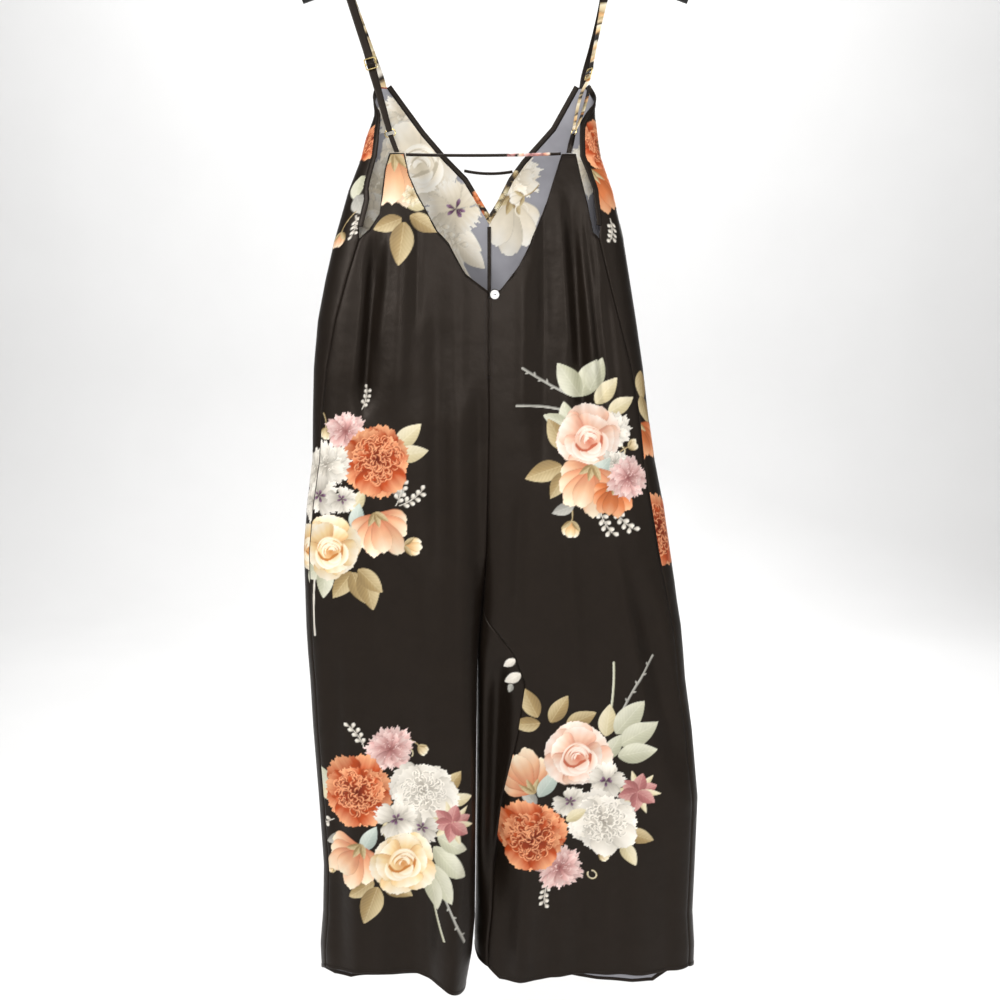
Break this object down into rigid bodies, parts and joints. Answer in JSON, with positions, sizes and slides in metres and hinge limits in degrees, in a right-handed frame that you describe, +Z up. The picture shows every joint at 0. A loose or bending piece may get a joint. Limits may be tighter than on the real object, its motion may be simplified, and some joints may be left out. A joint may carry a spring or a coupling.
{
  "type": "strappy wide-leg romper on a clothes hanger",
  "caption": "One-piece garment with two adjustable straps, deep V neck and back, open armholes and two wide legs, hung by its straps on a clothes hanger.",
  "frame": {"origin": "inside top of the hanger's hook, where a rod carries it", "axes": "+Z up, +X to the right of a viewer who faces the garment's back, -Y towards that viewer"},
  "size_m": [0.535, 0.1098, 1.455],
  "materials": {
    "printed_satin": "black satin with printed flower bouquets",
    "bias_binding": "black satin strip",
    "gold_plate": "polished",
    "white_button": "gloss",
    "black_plastic": "gloss",
    "hook_steel": "polished"
  },
  "bodies": {
    "root": {"back_left": "printed_satin", "back_right": "printed_satin", "front_left": "printed_satin", "front_right": "printed_satin", "neck_binding_left": "bias_binding", "neck_binding_right": "bias_binding", "armhole_binding_left": "bias_binding", "armhole_binding_right": "bias_binding", "front_seam_allowance": "bias_binding", "strap_left": "bias_binding", "strap_right": "bias_binding", "tab_left": "bias_binding", "tab_right": "bias_binding", "back_cross_strap": "bias_binding", "front_cross_strap": "bias_binding", "button_loop": "bias_binding", "ring_left": "gold_plate", "ring_right": "gold_plate", "slider_left": "gold_plate", "slider_right": "gold_plate", "button": "white_button", "hanger_arms": "black_plastic", "hanger_collar": "black_plastic", "hanger_hook": "hook_steel"}
  },
  "joints": []
}
